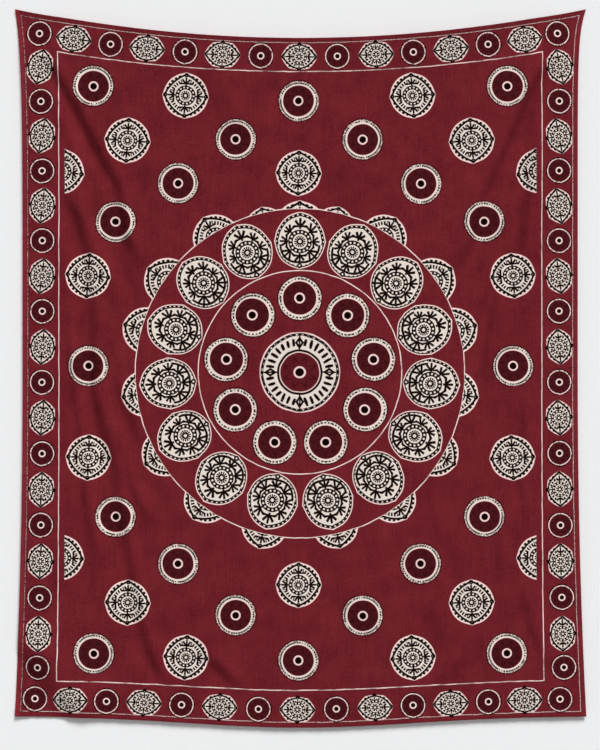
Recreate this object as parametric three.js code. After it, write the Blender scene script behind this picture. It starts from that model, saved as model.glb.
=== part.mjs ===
// Block print cotton sheet, hung flat by its two top corners.
// One thin cloth with a doubled hem. Its top edge sags between the corners, its sides bow in,
// and soft folds fan down from the corners.
// Millimetres: X across, Y towards the wall behind, Z up.
// The origin is the middle of the top edge, in the plane of the wall.
import * as THREE from "three";

// The cloth as cut and sewn
const FLAT_WIDTH = 2200;
const FLAT_HEIGHT = 2700;
const CLOTH_THICKNESS = 1.2;
const HEM_THICKNESS = 2.4;
const HEM_WIDTH = 15;
const HEM_SLOPE = 4;

// The cloth as hung: its span, and how far each level lies below the middle of the top edge
const CORNER_SPAN = 2184;
const TOP_SAG = 115.5;
const MIDDLE_DROP = 1274.5;
const MIDDLE_SAG = 50;
const BOTTOM_DROP = 2630.5;
const BOTTOM_SAG = 43.8;
const BOTTOM_BELLY = 0.55;

// How far the side edges bow in, how quickly they do so below the corner, and how far that reaches
const SIDES = [
  { side: -1, bow: 31, ease: 0.07 },
  { side: 1, bow: 33, ease: 0.035 },
];
const BOW_REACH = 267;
const BOW_END_POWER = 2.2;

// How far the cloth stands off the wall at its edges, in its middle and along its top edge
const EDGE_STANDOFF = 8;
const FIELD_STANDOFF = 25;
const STANDOFF_POWER = 6;
const TOP_LEAN = 8;
const TOP_LEAN_DEPTH = 110;
const CORNER_FLAT = 45;
const CORNER_EASE = 220;

// Folds: across each line the cloth steps from a trough on the viewer's left to a ridge on the right,
// or the other way where the rise is negative. The rise is that of the ridge. A fold dies out over
// a short length at both of its ends.
const FOLDS = [
  {
    line: [
      [-1001, -22], [-863, -250], [-768, -437],
      [-696, -563], [-665, -769], [-612, -876],
    ],
    rise: 10, width: 33,
  },
  {
    line: [
      [-917, -540], [-848, -693], [-814, -826], [-791, -1036], [-787, -1341], [-753, -1493],
      [-711, -1645], [-692, -1798], [-657, -1950], [-616, -2217], [-566, -2370], [-505, -2503],
    ],
    rise: 9, width: 33,
  },
  {
    line: [
      [-894, -1093], [-863, -1341], [-837, -1493],
      [-825, -1748], [-795, -1950], [-795, -2160],
    ],
    rise: 4, width: 22,
  },
  { line: [[-703, -1131], [-692, -1341], [-638, -1474], [-608, -1588]], rise: 4, width: 27 },
  { line: [[-677, -1626], [-623, -1760], [-581, -1866]], rise: 4, width: 22 },
  { line: [[-398, -2312], [-299, -2415], [-208, -2514]], rise: 8, width: 32 },
  { line: [[-1130, -2255], [-993, -2446], [-825, -2667]], rise: 14, width: 90 },
  {
    line: [
      [974, -29], [844, -266], [779, -426],
      [699, -597], [654, -769], [600, -921],
    ],
    rise: -12, width: 32,
  },
  {
    line: [
      [924, -254], [886, -426], [863, -635], [837, -807],
      [749, -978], [711, -1150], [673, -1360],
    ],
    rise: 11, width: 35,
  },
  { line: [[802, -1321], [787, -1512]], rise: 4, width: 18 },
  { line: [[844, -1341], [852, -1493], [833, -1684], [852, -1760], [859, -1912]], rise: 5, width: 20 },
  { line: [[776, -1836], [753, -1988], [738, -2122]], rise: 8, width: 24 },
  { line: [[833, -2065], [867, -2217], [901, -2312], [917, -2408]], rise: 6, width: 25 },
  { line: [[577, -1874], [596, -1988], [585, -2110]], rise: 6, width: 34 },
  {
    line: [
      [-924, -205], [-879, -304], [-848, -380], [-825, -502], [-810, -635],
      [-787, -708], [-753, -792], [-707, -887], [-669, -982], [-657, -1093],
    ],
    rise: -7, width: 34,
  },
  { line: [[-665, -483], [-623, -609], [-604, -738], [-558, -876]], rise: -5, width: 52 },
  {
    line: [
      [-924, -662], [-890, -788], [-867, -997], [-852, -1169], [-825, -1379],
      [-810, -1501], [-787, -1722], [-764, -1836], [-730, -1988], [-722, -2141],
    ],
    rise: -5, width: 30,
  },
  {
    line: [
      [-757, -1272], [-718, -1409], [-669, -1531],
      [-616, -1668], [-562, -1783], [-524, -1897],
    ],
    rise: -5, width: 36,
  },
  { line: [[928, -197], [871, -342], [837, -433], [806, -517]], rise: 7, width: 32 },
  { line: [[802, -510], [787, -647], [772, -784]], rise: -8, width: 30 },
  { line: [[760, -769], [730, -853], [680, -948], [646, -1066]], rise: 6, width: 32 },
  { line: [[901, -597], [894, -826], [875, -997], [837, -1188]], rise: -5, width: 30 },
  { line: [[661, -1855], [654, -1969], [646, -2103]], rise: -6, width: 34 },
  { line: [[898, -2034], [920, -2141], [932, -2271]], rise: -4, width: 22 },
  { line: [[547, -45], [536, -197], [494, -395]], rise: 8, width: 75 },
  { line: [[112, -407], [135, -548], [124, -685]], rise: 9, width: 80 },
  { line: [[-345, -106], [-288, -273], [-242, -445]], rise: 7, width: 75 },
  { line: [[-2, -67], [13, -388], [2, -662]], rise: 4, width: 42 },
  { line: [[166, -1912], [170, -2103], [189, -2312]], rise: 8, width: 80 },
  { line: [[520, -1969], [494, -2179], [532, -2331], [516, -2503]], rise: 7, width: 66 },
];
const FOLD_FADE = 140;

// The mesh: lines across and down, packed closer where the folds are sharpest
const SIDE_ZONE = 600;
const SIDE_COLUMNS = 24;
const MIDDLE_COLUMNS = 10;
const ROWS = 41;
const TOP_PACKING = 0.25;

const CLOTH_COLOUR = 0x6c2126;

// 0 below the first limit, 1 above the second, and smooth between them
function blend(low, high, value) {
  return THREE.MathUtils.smoothstep(value, low, high);
}

// Height of the cloth at u across (-1 to 1) and v down (0 to 1), through three level curves
function heightAt(u, v) {
  const top = TOP_SAG * u * u;
  const middle = MIDDLE_SAG * u * u - MIDDLE_DROP;
  const bottom = BOTTOM_SAG * (1 - Math.exp(-((u / BOTTOM_BELLY) ** 2))) - BOTTOM_DROP;
  return top * (1 - v) * (1 - 2 * v) + middle * 4 * v * (1 - v) + bottom * v * (2 * v - 1);
}

// Place across the wall at u and v, drawn in where the sides bow
function acrossAt(u, v) {
  let x = (u * CORNER_SPAN) / 2;
  for (const { side, bow, ease } of SIDES) {
    const inwards = ((1 - side * u) * FLAT_WIDTH) / 2;
    const share = 0.5 + 0.5 * Math.cos(Math.PI * Math.min(inwards / BOW_REACH, 1));
    const lower = Math.max(0, 2 * v - 1) ** BOW_END_POWER;
    x -= side * share * bow * (1 - Math.exp(-v / ease)) * (1 - lower);
  }
  return x;
}

// How far along each fold its points lie
const foldLines = FOLDS.map(({ line, rise, width }) => {
  const points = line.map(([x, z]) => new THREE.Vector2(x, z));
  const reach = [0];
  for (let k = 1; k < points.length; k += 1) reach.push(reach[k - 1] + points[k].distanceTo(points[k - 1]));
  return { points, reach, rise, width };
});

// Rise of one fold at a place on the wall
function foldRise({ points, reach, rise, width }, place) {
  let nearest = Infinity;
  let aside = 0;
  let along = 0;
  for (let k = 0; k + 1 < points.length; k += 1) {
    const step = points[k + 1].clone().sub(points[k]);
    const offset = place.clone().sub(points[k]);
    const share = THREE.MathUtils.clamp(offset.dot(step) / step.lengthSq(), 0, 1);
    const across = step.cross(offset) / step.length();
    const distance = offset.addScaledVector(step, -share).length();
    if (distance < nearest) {
      nearest = distance;
      aside = across;
      along = THREE.MathUtils.lerp(reach[k], reach[k + 1], share);
    }
  }
  const length = reach[reach.length - 1];
  const strength = blend(0, Math.min(FOLD_FADE, length / 2), Math.min(along, length - along));
  return (rise * strength * Math.SQRT2 * aside * Math.exp(0.5 - (nearest / width) ** 2)) / width;
}

// How far the front of the cloth stands off the wall: nothing but its own thickness at the corners
function standoffAt(u, v, x, z) {
  const fromTop = v * FLAT_HEIGHT;
  const fromCorner = Math.hypot(((1 - Math.abs(u)) * FLAT_WIDTH) / 2, fromTop);
  const field = (1 - Math.abs(u) ** STANDOFF_POWER) * (1 - v ** STANDOFF_POWER);
  let standoff = EDGE_STANDOFF + (FIELD_STANDOFF - EDGE_STANDOFF) * field;
  standoff += TOP_LEAN * (1 - u * u) * Math.exp(-fromTop / TOP_LEAN_DEPTH);
  const place = new THREE.Vector2(x, z);
  for (const line of foldLines) standoff += foldRise(line, place);
  return HEM_THICKNESS + Math.max(standoff, 0) * blend(CORNER_FLAT, CORNER_EASE, fromCorner);
}

// Distances across the cloth, and down it, where its mesh has a line
const columns = [0, HEM_WIDTH];
const hemEnd = HEM_WIDTH + HEM_SLOPE;
for (let k = 0; k <= SIDE_COLUMNS; k += 1) columns.push(hemEnd + ((SIDE_ZONE - hemEnd) * k) / SIDE_COLUMNS);
for (let k = 1; k <= MIDDLE_COLUMNS / 2; k += 1) {
  columns.push(SIDE_ZONE + ((FLAT_WIDTH / 2 - SIDE_ZONE) * k) / (MIDDLE_COLUMNS / 2));
}
for (const across of columns.slice(0, -1).reverse()) columns.push(FLAT_WIDTH - across);

const rows = [0, HEM_WIDTH];
for (let k = 0; k <= ROWS; k += 1) {
  const packed = k / ROWS - (TOP_PACKING * Math.sin((Math.PI * k) / ROWS)) / Math.PI;
  rows.push(hemEnd + (FLAT_HEIGHT - 2 * hemEnd) * packed);
}
rows.push(FLAT_HEIGHT - HEM_WIDTH, FLAT_HEIGHT);

// The cloth as one closed body: a front, a back that is doubled along the hem, and the rim between them
function clothGeometry() {
  const positions = [];
  const back = columns.length * rows.length;
  for (const isBack of [false, true]) {
    for (const down of rows) {
      for (const across of columns) {
        const u = (2 * across) / FLAT_WIDTH - 1;
        const v = down / FLAT_HEIGHT;
        const x = acrossAt(u, v);
        const z = heightAt(u, v);
        const edge = Math.min(across, FLAT_WIDTH - across, down, FLAT_HEIGHT - down);
        const thickness = edge > HEM_WIDTH ? CLOTH_THICKNESS : HEM_THICKNESS;
        positions.push(x, (isBack ? thickness : 0) - standoffAt(u, v, x, z), z);
      }
    }
  }

  const triangles = [];
  const corner = (column, row) => row * columns.length + column;
  const addSquare = (a, b, c, d) => triangles.push(a, b, c, a, c, d);
  for (let row = 0; row + 1 < rows.length; row += 1) {
    for (let column = 0; column + 1 < columns.length; column += 1) {
      const square = [
        corner(column, row),
        corner(column, row + 1),
        corner(column + 1, row + 1),
        corner(column + 1, row),
      ];
      // The diagonals fan down and inwards from the top corners, as the folds do
      if (column >= columns.length / 2) square.push(square.shift());
      const [a, b, c, d] = square;
      addSquare(a, b, c, d);
      addSquare(back + a, back + d, back + c, back + b);
    }
  }

  const rim = [];
  const lastColumn = columns.length - 1;
  const lastRow = rows.length - 1;
  for (let row = 0; row < lastRow; row += 1) rim.push(corner(0, row));
  for (let column = 0; column < lastColumn; column += 1) rim.push(corner(column, lastRow));
  for (let row = lastRow; row > 0; row -= 1) rim.push(corner(lastColumn, row));
  for (let column = lastColumn; column > 0; column -= 1) rim.push(corner(column, 0));
  rim.forEach((here, k) => {
    const next = rim[(k + 1) % rim.length];
    addSquare(here, back + here, back + next, next);
  });

  const geometry = new THREE.BufferGeometry();
  geometry.setAttribute("position", new THREE.Float32BufferAttribute(positions, 3));
  geometry.setIndex(triangles);
  geometry.computeVertexNormals();
  return geometry;
}

const cotton = new THREE.MeshStandardMaterial({ color: CLOTH_COLOUR, roughness: 0.9, metalness: 0 });
const sheet = new THREE.Mesh(clothGeometry(), cotton);
sheet.name = "sheet";

const hanging = new THREE.Group();
hanging.add(sheet);

export default hanging;
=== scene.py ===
"""A block print cotton sheet, hung flat by its two top corners.

The sheet is one thin dyed cloth with a doubled hem. Its top edge sags between the corners, its sides
bow in, and soft folds fan down from the corners. Hand-cut blocks are printed on it one by one.
The tables hold millimetres and the meshes hold metres, with the cloth's face looking along -Y.
"""

import ast
import logging
import math
import operator
from dataclasses import dataclass, field, replace
from enum import Enum
from typing import NamedTuple

import bpy
import numpy as np
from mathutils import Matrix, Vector


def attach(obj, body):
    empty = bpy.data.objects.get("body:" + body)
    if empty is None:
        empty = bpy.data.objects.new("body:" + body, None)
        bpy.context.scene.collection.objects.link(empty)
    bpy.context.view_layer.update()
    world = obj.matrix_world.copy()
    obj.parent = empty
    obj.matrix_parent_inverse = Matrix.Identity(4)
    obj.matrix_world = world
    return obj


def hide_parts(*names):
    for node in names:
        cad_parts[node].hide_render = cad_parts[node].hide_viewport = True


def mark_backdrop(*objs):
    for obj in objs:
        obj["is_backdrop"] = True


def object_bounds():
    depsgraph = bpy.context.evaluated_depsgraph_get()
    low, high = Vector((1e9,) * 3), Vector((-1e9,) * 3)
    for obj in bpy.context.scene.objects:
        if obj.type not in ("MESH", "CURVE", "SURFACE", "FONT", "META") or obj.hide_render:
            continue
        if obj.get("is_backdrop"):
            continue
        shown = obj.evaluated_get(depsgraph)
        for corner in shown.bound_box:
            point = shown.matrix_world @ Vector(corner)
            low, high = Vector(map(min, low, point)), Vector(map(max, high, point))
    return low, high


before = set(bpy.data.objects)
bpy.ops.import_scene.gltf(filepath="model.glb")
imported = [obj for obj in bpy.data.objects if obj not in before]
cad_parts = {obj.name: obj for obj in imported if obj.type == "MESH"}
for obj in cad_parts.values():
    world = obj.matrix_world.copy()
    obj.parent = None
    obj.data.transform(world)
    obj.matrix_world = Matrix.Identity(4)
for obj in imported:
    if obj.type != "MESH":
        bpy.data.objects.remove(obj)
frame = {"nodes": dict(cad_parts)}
CAD_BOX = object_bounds()

log = logging.getLogger("printed_sheet")

MM = 0.001
TAU = 2 * math.pi
BODY = "root"
NODE = "sheet"
STAR_POINTS = 8

Array = np.ndarray
Socket = bpy.types.NodeSocket
Value = Socket | float


def linear(code: str) -> tuple[float, float, float, float]:
    """Turn an sRGB hex colour into the linear colour that a shader takes.

    Args:
        code: The colour as "#rrggbb".

    Returns:
        Red, green, blue and an alpha of 1.
    """
    parts = [int(code[k : k + 2], 16) / 255 for k in (1, 3, 5)]
    red, green, blue = (c / 12.92 if c <= 0.04045 else ((c + 0.055) / 1.055) ** 2.4 for c in parts)
    return red, green, blue, 1.0


def smooth(low: float, high: float, value: Array) -> Array:
    """Rise smoothly from 0 at low to 1 at high."""
    share = np.clip((value - low) / (high - low), 0, 1)
    return share * share * (3 - 2 * share)


def show_object(name: str, mesh: bpy.types.Mesh) -> bpy.types.Object:
    """Put a finished mesh in the scene, at the origin.

    Args:
        name: The piece's name.
        mesh: Its mesh, with the piece's place in it.

    Returns:
        The new object.
    """
    piece = bpy.data.objects.new(name, mesh)
    bpy.context.scene.collection.objects.link(piece)
    return piece


# The hung shape

@dataclass(frozen=True)
class Fold:
    """A soft step across a line: a trough on the viewer's left and a ridge on the right.

    Places are across and up on the wall. The rise is the ridge's, and it is below zero where the
    ridge lies on the left. A fold dies out over a short length at both ends.
    """

    line: tuple[tuple[float, float], ...]
    rise: float
    width: float
    fade: float = 140

    def rise_at(self, x: Array, z: Array) -> Array:
        """Measure what the fold adds to the cloth.

        Args:
            x: Places across the wall.
            z: Places up the wall.

        Returns:
            The rise at each place.
        """
        points = np.array(self.line, float)
        steps = np.diff(points, axis=0)
        lengths = np.hypot(steps[:, 0], steps[:, 1])
        reach = np.append(0, np.cumsum(lengths))
        nearest = np.full(x.shape, np.inf)
        aside, along = np.zeros(x.shape), np.zeros(x.shape)
        for point, step, length, start in zip(points, steps, lengths, reach):
            across, up = x - point[0], z - point[1]
            part = np.clip((across * step[0] + up * step[1]) / length**2, 0, 1)
            distance = np.hypot(across - part * step[0], up - part * step[1])
            closer = distance < nearest
            nearest = np.where(closer, distance, nearest)
            aside = np.where(closer, (step[0] * up - step[1] * across) / length, aside)
            along = np.where(closer, start + part * length, along)
        total = reach[-1]
        strength = smooth(0, min(self.fade, total / 2), np.minimum(along, total - along))
        profile = math.sqrt(2) * aside / self.width * np.exp(0.5 - (nearest / self.width) ** 2)
        return self.rise * strength * profile


# The main folds, which the solid has too
FOLDS = (
    Fold(((-1001, -22), (-863, -250), (-768, -437), (-696, -563), (-665, -769), (-612, -876)), 10, 33),
    Fold((
        (-917, -540), (-848, -693), (-814, -826), (-791, -1036), (-787, -1341), (-753, -1493),
        (-711, -1645), (-692, -1798), (-657, -1950), (-616, -2217), (-566, -2370), (-505, -2503),
    ), 9, 33),
    Fold(((-894, -1093), (-863, -1341), (-837, -1493), (-825, -1748), (-795, -1950), (-795, -2160)), 4, 22),
    Fold(((-703, -1131), (-692, -1341), (-638, -1474), (-608, -1588)), 4, 27),
    Fold(((-677, -1626), (-623, -1760), (-581, -1866)), 4, 22),
    Fold(((-398, -2312), (-299, -2415), (-208, -2514)), 8, 32),
    Fold(((-1130, -2255), (-993, -2446), (-825, -2667)), 14, 90),
    Fold(((974, -29), (844, -266), (779, -426), (699, -597), (654, -769), (600, -921)), -12, 32),
    Fold((
        (924, -254), (886, -426), (863, -635), (837, -807),
        (749, -978), (711, -1150), (673, -1360),
    ), 11, 35),
    Fold(((802, -1321), (787, -1512)), 4, 18),
    Fold(((844, -1341), (852, -1493), (833, -1684), (852, -1760), (859, -1912)), 5, 20),
    Fold(((776, -1836), (753, -1988), (738, -2122)), 8, 24),
    Fold(((833, -2065), (867, -2217), (901, -2312), (917, -2408)), 6, 25),
    Fold(((577, -1874), (596, -1988), (585, -2110)), 6, 34),
    Fold((
        (-924, -205), (-879, -304), (-848, -380), (-825, -502), (-810, -635),
        (-787, -708), (-753, -792), (-707, -887), (-669, -982), (-657, -1093),
    ), -7, 34),
    Fold(((-665, -483), (-623, -609), (-604, -738), (-558, -876)), -5, 52),
    Fold((
        (-924, -662), (-890, -788), (-867, -997), (-852, -1169), (-825, -1379),
        (-810, -1501), (-787, -1722), (-764, -1836), (-730, -1988), (-722, -2141),
    ), -5, 30),
    Fold((
        (-757, -1272), (-718, -1409), (-669, -1531),
        (-616, -1668), (-562, -1783), (-524, -1897),
    ), -5, 36),
    Fold(((928, -197), (871, -342), (837, -433), (806, -517)), 7, 32),
    Fold(((802, -510), (787, -647), (772, -784)), -8, 30),
    Fold(((760, -769), (730, -853), (680, -948), (646, -1066)), 6, 32),
    Fold(((901, -597), (894, -826), (875, -997), (837, -1188)), -5, 30),
    Fold(((661, -1855), (654, -1969), (646, -2103)), -6, 34),
    Fold(((898, -2034), (920, -2141), (932, -2271)), -4, 22),
    Fold(((547, -45), (536, -197), (494, -395)), 8, 75),
    Fold(((112, -407), (135, -548), (124, -685)), 9, 80),
    Fold(((-345, -106), (-288, -273), (-242, -445)), 7, 75),
    Fold(((-2, -67), (13, -388), (2, -662)), 4, 42),
    Fold(((166, -1912), (170, -2103), (189, -2312)), 8, 80),
    Fold(((520, -1969), (494, -2179), (532, -2331), (516, -2503)), 7, 66),
)

# Finer creases that pull from the corners and run beside the main folds
CREASES = (
    Fold(((-1040, 70), (-985, -5), (-905, -75)), 2.2, 13, 60),
    Fold(((-1050, 40), (-1005, -80), (-965, -215)), 2, 13, 60),
    Fold(((-1060, 10), (-1040, -120), (-1025, -300)), 1.6, 12, 60),
    Fold(((-810, -560), (-785, -610), (-770, -650)), 1.6, 9, 40),
    Fold(((-602, -455), (-574, -520), (-566, -580)), 2, 11, 40),
    Fold(((-684, -240), (-666, -290), (-660, -320)), 1.4, 10, 40),
    Fold(((1040, 70), (985, -5), (905, -70)), -2.2, 13, 60),
    Fold(((1050, 40), (1008, -70), (965, -200)), -2, 13, 60),
    Fold(((1060, 10), (1040, -130), (1022, -320)), -1.6, 12, 60),
)


@dataclass(frozen=True)
class HungShape:
    """The shape in which the cloth hangs.

    A place on the cloth is given by its distances across and down from the top left corner as cut.
    """

    flat_width: float = 2200
    flat_height: float = 2700
    corner_span: float = 2184
    top_sag: float = 115.5
    middle_drop: float = 1274.5
    middle_sag: float = 50
    bottom_drop: float = 2630.5
    bottom_sag: float = 43.8
    bottom_belly: float = 0.55
    side_bows: tuple[tuple[int, float, float], ...] = ((-1, 31, 0.07), (1, 33, 0.035))
    bow_reach: float = 267
    bow_end_power: float = 2.2
    edge_standoff: float = 8
    field_standoff: float = 25
    standoff_power: float = 6
    top_lean: float = 8
    top_lean_depth: float = 110
    corner_flat: float = 45
    corner_ease: float = 220
    hem_width: float = 15
    hem_thickness: float = 2.4
    hem_rise: float = 0.7
    stitch_inset: float = 12.5
    stitch_dent: float = 0.6
    stitch_dent_width: float = 2.0
    pucker: float = 0.7
    pucker_length: float = 43
    pucker_reach: float = 55
    ripple: float = 0.5

    def wall_place(self, u: Array, v: Array) -> tuple[Array, Array]:
        """Find where the cloth lies on the wall.

        Args:
            u: Places across the cloth, from -1 to 1.
            v: Places down the cloth, from 0 to 1.

        Returns:
            Places across and up on the wall.
        """
        top = self.top_sag * u * u
        middle = self.middle_sag * u * u - self.middle_drop
        bottom = self.bottom_sag * (1 - np.exp(-((u / self.bottom_belly) ** 2))) - self.bottom_drop
        z = top * (1 - v) * (1 - 2 * v) + middle * 4 * v * (1 - v) + bottom * v * (2 * v - 1)
        x = u * self.corner_span / 2
        for side, bow, ease in self.side_bows:
            inwards = (1 - side * u) * self.flat_width / 2
            share = 0.5 + 0.5 * np.cos(np.pi * np.minimum(inwards / self.bow_reach, 1))
            lower = np.maximum(0, 2 * v - 1) ** self.bow_end_power
            x = x - side * share * bow * (1 - np.exp(-v / ease)) * (1 - lower)
        return x, z

    def standoff(self, u: Array, v: Array, x: Array, z: Array) -> Array:
        """Measure how far the front of the cloth stands off the wall.

        Args:
            u: Places across the cloth, from -1 to 1.
            v: Places down the cloth, from 0 to 1.
            x: The same places across the wall.
            z: The same places up the wall.

        Returns:
            The distance at each place: nothing but the hem's own thickness at the top corners.
        """
        from_top = v * self.flat_height
        from_corner = np.hypot((1 - np.abs(u)) * self.flat_width / 2, from_top)
        middle = (1 - np.abs(u) ** self.standoff_power) * (1 - v**self.standoff_power)
        off = self.edge_standoff + (self.field_standoff - self.edge_standoff) * middle
        off = off + self.top_lean * (1 - u * u) * np.exp(-from_top / self.top_lean_depth)
        for fold in FOLDS + CREASES:
            off = off + fold.rise_at(x, z)
        eased = np.maximum(off, 0) * smooth(self.corner_flat, self.corner_ease, from_corner)
        return self.hem_thickness + eased

    def edge_distance(self, across: Array, down: Array) -> Array:
        """Measure how far places on the cut cloth lie from its nearest edge."""
        sides = np.minimum(across, self.flat_width - across)
        return np.minimum(sides, np.minimum(down, self.flat_height - down))

    def hem_relief(self, across: Array, down: Array) -> Array:
        """Measure what the sewn hem adds to the front: its fold, its dented seam and slight puckers.

        Args:
            across: Distances from the left edge.
            down: Distances from the top edge.

        Returns:
            The rise at each place.
        """
        width, height = self.flat_width, self.flat_height
        edge = self.edge_distance(across, down)
        fold = self.hem_rise * (1 - smooth(self.hem_width - 1, self.hem_width + 2, edge))
        seam = (edge - self.stitch_inset) / self.stitch_dent_width
        along = np.where(np.minimum(across, width - across) < np.minimum(down, height - down), down, across)
        wave = np.sin(TAU * along / self.pucker_length + 1.7 * np.sin(along / 97))
        puckers = self.pucker * wave * np.exp(-edge / self.pucker_reach)
        return fold - self.stitch_dent * np.exp(-(seam**2)) + puckers

    def ripples(self, across: Array, down: Array) -> Array:
        """Measure the slight unevenness of washed cotton: long ripples down the warp."""
        drift = 23 * np.sin(down / 310) + 11 * np.sin(down / 127 + across / 410)
        coarse = np.sin((across + drift) / 31) * np.sin(down / 210 + across / 530)
        fine = np.sin((across - drift) / 13.7 + 2.1) * np.sin(down / 89 + across / 260 + 1.3)
        return self.ripple * (coarse + 0.6 * fine)

    def front(self, across: Array, down: Array) -> Array:
        """Place points on the front of the hung cloth.

        Args:
            across: Distances from the left edge as cut.
            down: Distances from the top edge as cut.

        Returns:
            Rows of x, y and z, in metres.
        """
        u = 2 * across / self.flat_width - 1
        v = down / self.flat_height
        x, z = self.wall_place(u, v)
        off = self.standoff(u, v, x, z) + self.hem_relief(across, down) + self.ripples(across, down)
        return np.stack([x, -np.maximum(off, self.hem_thickness), z], axis=-1) * MM


# The print's layout

class Block(Enum):
    """The printing blocks, and the material that each gives to the cloth under it."""

    NONE = 0
    FIELD_ROUNDEL = 1
    RING_ROUNDEL = 2
    BORDER_ROUNDEL = 3
    FIELD_MEDALLION = 4
    RING_MEDALLION = 5
    BORDER_MEDALLION = 6
    CENTRE = 7


# Blocks that aren't round: half width, height above and depth below the middle, as shares of the half size
OUTLINES = {Block.RING_MEDALLION: (0.95, 1.1, 1.01), Block.BORDER_MEDALLION: (1.017, 0.72, 0.72)}


class Clip(Enum):
    """What keeps a block from printing whole."""

    NONE = 0
    RING = 1
    LINE = 2


@dataclass(frozen=True)
class Stamp:
    """One print of a block: its place on the wall, its turn and its half size."""

    block: Block
    x: float
    z: float
    turn: float
    size: float
    clip: Clip = Clip.NONE

    def local(self, x: Array, z: Array) -> tuple[Array, Array]:
        """Turn places on the wall into the block's own coordinates, as shares of its half size."""
        cos, sin = math.cos(self.turn), math.sin(self.turn)
        across, up = x - self.x, z - self.z
        return (across * cos + up * sin) / self.size, (up * cos - across * sin) / self.size

    def extent(self, x: Array, z: Array) -> Array:
        """Measure how far out in the block places on the wall lie: 1 on its outline."""
        a, b = self.local(x, z)
        wide, above, below = OUTLINES.get(self.block, (1, 1, 1))
        return np.hypot(a / wide, b / np.where(b > 0, above, below))


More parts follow.
